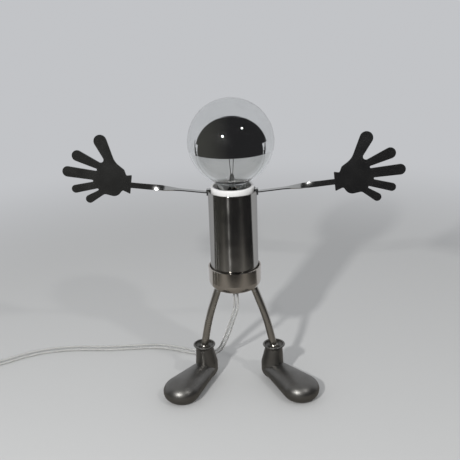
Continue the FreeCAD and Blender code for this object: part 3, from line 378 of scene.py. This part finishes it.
def clear_vinyl():
    """The cord's clear sheath, a little cloudy."""
    nodes = Nodes("cord_clear")
    nodes.set(Metallic=0.0, Transmission_Weight=0.97, IOR=1.45, Alpha=0.22)
    noise = nodes.add("ShaderNodeTexNoise", Scale=200.0)
    ramp = nodes.add("ShaderNodeMapRange", To_Min=0.03, To_Max=0.1)
    where = nodes.add("ShaderNodeTexCoord")
    mix = nodes.add("ShaderNodeMix", data_type="RGBA")
    mix.inputs[6].default_value = (0.98, 0.98, 0.96, 1)
    mix.inputs[7].default_value = (0.93, 0.93, 0.9, 1)
    nodes.link(where.outputs["Object"], noise.inputs["Vector"])
    nodes.link(noise.outputs["Fac"], ramp.inputs["Value"])
    nodes.link(noise.outputs["Fac"], mix.inputs["Factor"])
    nodes.link(mix.outputs[2], nodes.shader.inputs["Base Color"])
    nodes.link(ramp.outputs["Result"], nodes.shader.inputs["Roughness"])
    return nodes.material


def strand_metal():
    """Tinned stranded wire: fine bands that wind round the conductor, from its own UV map."""
    nodes = Nodes("cord_strands")
    nodes.set(Metallic=0.05)
    where = nodes.add("ShaderNodeUVMap", uv_map="run")
    wave = nodes.add("ShaderNodeTexWave", Scale=1.0, Distortion=0.3)
    wave.bands_direction = "DIAGONAL"
    mix = nodes.add("ShaderNodeMix", data_type="RGBA")
    mix.inputs[6].default_value = (0.88, 0.87, 0.83, 1)
    mix.inputs[7].default_value = (1.0, 1.0, 0.98, 1)
    relief = nodes.add("ShaderNodeBump", Strength=0.9, Distance=0.0005)
    nodes.link(where.outputs["UV"], wave.inputs["Vector"])
    nodes.link(wave.outputs["Fac"], mix.inputs["Factor"])
    nodes.link(wave.outputs["Fac"], relief.inputs["Height"])
    nodes.link(mix.outputs[2], nodes.shader.inputs["Base Color"])
    nodes.link(relief.outputs["Normal"], nodes.shader.inputs["Normal"])
    nodes.set(Roughness=0.22)
    return nodes.material


GLASS = clear_glass()
SILVER = silver_coat()
VINYL = clear_vinyl()
STRANDS = strand_metal()

NODE_MATERIALS = {
    "base_cup": NICKEL,
    "body_tube": CHROME,
    "lampholder_body": PORCELAIN,
    "lampholder_sleeve": BRASS,
    "lampholder_contact": BRASS,
    "terminal_blocks": BRASS,
    "terminal_screws": STEEL,
    "holder_bridge": STEEL,
    "bridge_screws": STEEL,
    "tie_rod": STEEL,
    "rod_washer": STEEL,
    "rod_nut_lower": STEEL,
    "rod_nut_upper": STEEL,
    "cord_bush": BLACK_PLASTIC,
    "lead_in_rod": VINYL,
    "lead_wires": WIRE,
    "left_leg": ROD,
    "right_leg": ROD,
    "hip_screws": STEEL,
    "leg_grub_screws": STEEL,
    "ankle_balls": ROD,
    "sole_screws": STEEL,
    "sole_washers": STEEL,
    "left_arm": ARM,
    "right_arm": ARM,
    "left_boot": PEWTER,
    "right_boot": PEWTER,
    "bulb_glass": GLASS,
    "bulb_mirror": SILVER,
    "bulb_cap": CAP,
    "bulb_insulator": BLACK_GLASS,
    "bulb_tip_contact": SOLDER,
    "bulb_stem": GLASS,
    "bulb_lead_wires": WIRE,
    "bulb_filament": WIRE,
    "coil_tie": TIE,
    "switch_lower": WHITE_PLASTIC,
    "switch_upper": WHITE_PLASTIC,
    "switch_screws": STEEL,
    "switch_rocker": WHITE_PLASTIC,
    "switch_pin": STEEL,
    "switch_contacts": BRASS,
    "plug_body": WHITE_PLASTIC,
    "plug_pins": BRASS,
}


def finish_nodes():
    """Gives every CAD node that stays its material."""
    for name, material in NODE_MATERIALS.items():
        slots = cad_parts[name].material_slots
        for slot in slots:
            slot.material = material


def coil_point(turn):
    """The coil's line after a number of turns: in on the first layer, up, and out on the second."""
    pitch = (COIL_OUTER - COIL_INNER) / COIL_TURNS
    angle = math.pi / 2 + 2 * math.pi * turn
    if turn <= COIL_TURNS:
        radius = COIL_OUTER - pitch * turn
        z = COIL_BOTTOM_Z
    elif turn < COIL_TURNS + 0.5:
        phase = 2 * math.pi * (turn - COIL_TURNS)
        radius = COIL_INNER - pitch / (2 * math.pi) * math.sin(phase)
        z = COIL_BOTTOM_Z + COIL_LAYER_STEP * (1 - math.cos(phase)) / 2
    else:
        radius = COIL_INNER + pitch * (turn - COIL_TURNS - 0.5)
        z = COIL_BOTTOM_Z + COIL_LAYER_STEP
    return (COIL_X + radius * math.cos(angle), COIL_Y + radius * math.sin(angle), z)


def cord_controls():
    """The whole cord's control points: route, straight through the switch, coil, and tail to the plug."""
    count = round((2 * COIL_TURNS + 0.5) * COIL_POINTS_PER_TURN)
    turns = [coil_point(k / COIL_POINTS_PER_TURN) for k in range(count + 1)]
    last = turns[-1]
    points = list(CORD_ROUTE)
    points.append((SWITCH_X - SWITCH_LENGTH / 2, SWITCH_Y, SWITCH_Z))
    points.append((SWITCH_X - SWITCH_LENGTH, SWITCH_Y, SWITCH_Z))
    points.append((SWITCH_X - SWITCH_LENGTH - 8.0, SWITCH_Y, SWITCH_Z))
    points.append((COIL_X + 16.0, SWITCH_Y + 0.5, COIL_BOTTOM_Z))
    points += turns
    points.append((last[0] + 23.0, last[1] - 0.7, last[2]))
    points.append((last[0] + 39.0, last[1] - 2.0, 9.4))
    points.append((PLUG_X - 13.2, PLUG_Y + 4.8, PLUG_Z))
    points.append((PLUG_X, PLUG_Y, PLUG_Z))
    return place(points)


def stadium(width, thickness, steps=14):
    """A flat cord's section: two half rounds joined by a waist a little thinner than they are."""
    r = thickness / 2
    reach = width / 2 - r
    angle = np.linspace(-np.pi / 2, np.pi / 2, steps)
    right = np.column_stack([reach + r * np.cos(angle), r * np.sin(angle)])
    left = -right
    waist_up = np.array([[0.0, r * 0.78]])
    waist_low = np.array([[0.0, -r * 0.78]])
    return np.vstack([right, waist_up, left, waist_low])


def turned_on_edge(path, sides, ups):
    """Length travelled, and side and up vectors turned about the path: the lead hangs with its broad
    face to the front and rolls by ROLL_TURN, so that it runs along the floor on its edge. The turn is
    3 s^2 - 2 s^3 of the whole, where s is the share of ROLL_RUN that is travelled."""
    travelled = np.concatenate([[0], np.cumsum(np.linalg.norm(np.diff(path, axis=0), axis=1))])
    share = np.clip((travelled - ROLL_START * MM) / (ROLL_RUN * MM), 0, 1)
    roll = np.radians(ROLL_TURN) * (3 * share ** 2 - 2 * share ** 3)
    c, s = np.cos(roll)[:, None], np.sin(roll)[:, None]
    return travelled, sides * c + ups * s, ups * c - sides * s


def sleeve(name, path, sides, ups, start, along):
    """A ribbed strain relief: the cord's section, half as big again at the housing, tapering to a close
    fit. Its scale is 1.42 - 0.26 s + 0.035 cos(10 pi s), five shallow waves, at the share s of its
    length."""
    start = int(np.argmin(np.linalg.norm(path - start, axis=1)))
    found = [start]
    while np.linalg.norm(path[found[-1]] - path[start]) < SLEEVE_LENGTH * MM:
        found.append(found[-1] + along)
    stops = np.linalg.norm(path[found] - path[start], axis=1)
    fine = np.linspace(0, stops[-1], 61)
    line, side, up = (np.column_stack([np.interp(fine, stops, v[found, k]) for k in range(3)])
                      for v in (path, sides, ups))
    share = fine / fine[-1]
    scale = 1.42 - 0.26 * share + 0.035 * np.cos(share * 10 * np.pi)
    profile = stadium(CORD_WIDTH, CORD_THICKNESS + 1.0) * MM
    if along < 0:
        profile = profile[::-1]
    return sweep(name, line, profile, WHITE_PLASTIC, side * scale[:, None], up * scale[:, None])


def make_cord():
    """The flat twin lead as one sheath with two conductors inside it, from the bush to the plug."""
    path = spline_points(cord_controls(), 10)
    tangent, sides, ups = steady_frames(path, (1, 0, 0))
    travelled, sides, ups = turned_on_edge(path, sides, ups)
    profile = stadium(CORD_WIDTH, CORD_THICKNESS) * MM
    sheath = sweep("cord_sheath", path, profile, VINYL, sides, ups)
    angle = np.linspace(0, 2 * np.pi, CONDUCTOR_STEPS, endpoint=False)
    conductors = []
    for side, name in ((-1, "cord_conductor_low"), (1, "cord_conductor_high")):
        round_profile = np.column_stack([
            side * CONDUCTOR_REACH + CONDUCTOR_RADIUS * np.cos(angle),
            CONDUCTOR_RADIUS * np.sin(angle),
        ]) * MM
        strand = sweep(name, path, round_profile, STRANDS, sides, ups)
        layer = strand.data.uv_layers.new(name="run")
        loops = np.empty(len(strand.data.loops), int)
        strand.data.loops.foreach_get("vertex_index", loops)
        row = loops // CONDUCTOR_STEPS
        column = loops % CONDUCTOR_STEPS
        uv = np.column_stack([travelled[np.minimum(row, len(path) - 1)] / 0.0008, column / 3.0])
        layer.data.foreach_set("uv", uv.ravel())
        conductors.append(strand)
    sleeves = [
        sleeve("switch_sleeve_front", path, sides, ups, place((SWITCH_X, SWITCH_Y, SWITCH_Z)), -1),
        sleeve("switch_sleeve_back", path, sides, ups,
               place((SWITCH_X - SWITCH_LENGTH, SWITCH_Y, SWITCH_Z)), 1),
        sleeve("plug_sleeve", path, sides, ups, place((PLUG_X, PLUG_Y, PLUG_Z)), -1),
    ]
    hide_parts("cord_lead", "cord_middle", "cord_coil", "cord_tail")
    for piece in [sheath] + conductors + sleeves:
        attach(piece, "stand")


def smooth_ramp(nodes, socket, low, high):
    """A value that goes softly from 0 at low to 1 at high."""
    ramp = nodes.add("ShaderNodeMapRange", From_Min=low, From_Max=high)
    ramp.interpolation_type = "SMOOTHSTEP"
    nodes.link(socket, ramp.inputs["Value"])
    return ramp.outputs["Result"]


def combined(nodes, operation, first, second):
    """Two values joined by one sum; either may be a number."""
    joined = nodes.add("ShaderNodeMath", operation=operation)
    for slot, value in zip(joined.inputs, (first, second)):
        if isinstance(value, float):
            slot.default_value = value
        else:
            nodes.link(value, slot)
    return joined.outputs[0]


def make_stage():
    """A plain pale floor that keeps the lamp's shadow and runs into the backdrop's colour. Polished
    metal sees a greyer floor that gives way to darkness in front of the lamp and beside it, and to a
    pale screen a little behind it."""
    nodes = Nodes("stage_floor")
    nodes.set(Roughness=0.8)
    where = nodes.add("ShaderNodeTexCoord")
    parts = nodes.add("ShaderNodeSeparateXYZ")
    nodes.link(where.outputs["Object"], parts.inputs[0])
    distance = nodes.add("ShaderNodeVectorMath", operation="LENGTH")
    nodes.link(where.outputs["Object"], distance.inputs[0])
    ray = nodes.add("ShaderNodeLightPath")
    mirrored = combined(nodes, "GREATER_THAN", ray.outputs["Glossy Depth"], 0.5)
    colour = nodes.add("ShaderNodeMix", data_type="RGBA")
    colour.inputs[6].default_value = (*FLOOR_COLOUR, 1)
    colour.inputs[7].default_value = (*REFLECTED_FLOOR, 1)
    nodes.link(mirrored, colour.inputs["Factor"])
    nodes.link(colour.outputs[2], nodes.shader.inputs["Base Color"])

    far = smooth_ramp(nodes, distance.outputs["Value"], 0.45, 1.1)
    front = smooth_ramp(nodes, parts.outputs["Y"], -0.29, -0.33)
    wide = combined(nodes, "ABSOLUTE", parts.outputs["X"], 0.0)
    beside = smooth_ramp(nodes, wide, 0.28, 0.36)
    outside = combined(nodes, "MAXIMUM", front, beside)
    behind = smooth_ramp(nodes, parts.outputs["Y"], 0.09, 0.14)
    aside = combined(nodes, "DIVIDE", parts.outputs["X"], distance.outputs["Value"])
    surround = nodes.add("ShaderNodeMix", data_type="RGBA")
    surround.inputs[6].default_value = (*DARK_COLOUR, 1)
    surround.inputs[7].default_value = (*DARK_SIDE_COLOUR, 1)
    nodes.link(combined(nodes, "MULTIPLY", aside, -1.0), surround.inputs["Factor"])
    # Painted reflections for glossy rays only: the floor's darker colour, a dark glow in front and beside
    # (lighter to the left), and a pale glow behind
    amounts = (
        (combined(nodes, "MULTIPLY", far, ray.outputs["Is Camera Ray"]), BACKDROP_COLOUR),
        (combined(nodes, "MULTIPLY", outside, mirrored), surround.outputs[2]),
        (combined(nodes, "MULTIPLY", behind, mirrored), SCREEN_COLOUR),
    )
    surface = nodes.shader.outputs[0]
    for amount, glow in amounts:
        light = nodes.add("ShaderNodeEmission")
        if isinstance(glow, tuple):
            light.inputs["Color"].default_value = (*glow, 1)
        else:
            nodes.link(glow, light.inputs["Color"])
        mix = nodes.add("ShaderNodeMixShader")
        nodes.link(amount, mix.inputs[0])
        nodes.link(surface, mix.inputs[1])
        nodes.link(light.outputs[0], mix.inputs[2])
        surface = mix.outputs[0]
    nodes.link(surface, nodes.tree.nodes["Material Output"].inputs["Surface"])
    size = 3.0
    corners = np.array([[-size, -size, 0], [size, -size, 0], [size, size, 0], [-size, size, 0]], float)
    floor = mesh_object("stage_floor", corners, [[0, 1, 2, 3]], nodes.material, smooth=False)
    floor.location.z = -0.0002


def make_world():
    """Pale surroundings for the camera and soft light on everything. For reflections, a pale screen
    behind the lamp, leaning forward overhead, and darkness in front of it, lighter towards its left."""
    world = bpy.data.worlds.new("studio")
    bpy.context.scene.world = world
    world.use_nodes = True
    tree = world.node_tree
    n = tree.nodes
    where = n.new("ShaderNodeTexCoord")
    lean = n.new("ShaderNodeVectorMath")
    lean.operation = "DOT_PRODUCT"
    lean.inputs[1].default_value = (-0.09, 1.0, 0.376)
    tree.links.new(where.outputs["Generated"], lean.inputs[0])
    ramp = n.new("ShaderNodeMapRange")
    ramp.interpolation_type = "SMOOTHSTEP"
    ramp.inputs["From Min"].default_value = 0.21
    ramp.inputs["From Max"].default_value = 0.26
    tree.links.new(lean.outputs["Value"], ramp.inputs["Value"])
    aside = n.new("ShaderNodeVectorMath")
    aside.operation = "DOT_PRODUCT"
    aside.inputs[1].default_value = (-1.0, 0.0, 0.0)
    tree.links.new(where.outputs["Generated"], aside.inputs[0])
    front = n.new("ShaderNodeMix")
    front.data_type = "RGBA"
    front.inputs[6].default_value = (*DARK_COLOUR, 1)
    front.inputs[7].default_value = (*DARK_SIDE_COLOUR, 1)
    tree.links.new(aside.outputs["Value"], front.inputs["Factor"])
    surround = n.new("ShaderNodeMix")
    surround.data_type = "RGBA"
    tree.links.new(front.outputs[2], surround.inputs[6])
    surround.inputs[7].default_value = (*SCREEN_COLOUR, 1)
    tree.links.new(ramp.outputs["Result"], surround.inputs["Factor"])
    ray = n.new("ShaderNodeLightPath")
    straight = n.new("ShaderNodeMath")
    straight.operation = "LESS_THAN"
    straight.inputs[1].default_value = 0.5
    tree.links.new(ray.outputs["Glossy Depth"], straight.inputs[0])
    seen = n.new("ShaderNodeMix")
    seen.data_type = "RGBA"
    seen.inputs[7].default_value = (*BACKDROP_COLOUR, 1)
    tree.links.new(straight.outputs[0], seen.inputs["Factor"])
    tree.links.new(surround.outputs[2], seen.inputs[6])
    tree.links.new(seen.outputs[2], n["Background"].inputs["Color"])


def area_light(name, place_mm, target_mm, size, power):
    """A square lamp aimed at a point."""
    data = bpy.data.lights.new(name, "AREA")
    data.energy = power
    data.size = size
    light = bpy.data.objects.new(name, data)
    bpy.context.collection.objects.link(light)
    start = Vector(place(place_mm))
    light.location = start
    light.rotation_mode = "QUATERNION"
    light.rotation_quaternion = (Vector(place(target_mm)) - start).to_track_quat("-Z", "Y")


def make_lights():
    """Two small bright lamps in front, the left one the stronger, for the highlights and the shadow."""
    bulb = np.array([0.0, 0.0, GLOBE_Z])
    for name, way, distance, size, power in (
        ("key", (-0.306, -0.850, 0.428), 1400.0, 0.07, 13.0),
        ("fill", (0.506, -0.545, 0.665), 1400.0, 0.07, 3.0),
    ):
        area_light(name, bulb + np.array(way) * distance, (0, 0, 150), size, power)


make_camera()
finish_nodes()
make_cord()
make_stage()
make_world()
make_lights()

bpy.context.scene.view_settings.view_transform = "Standard"
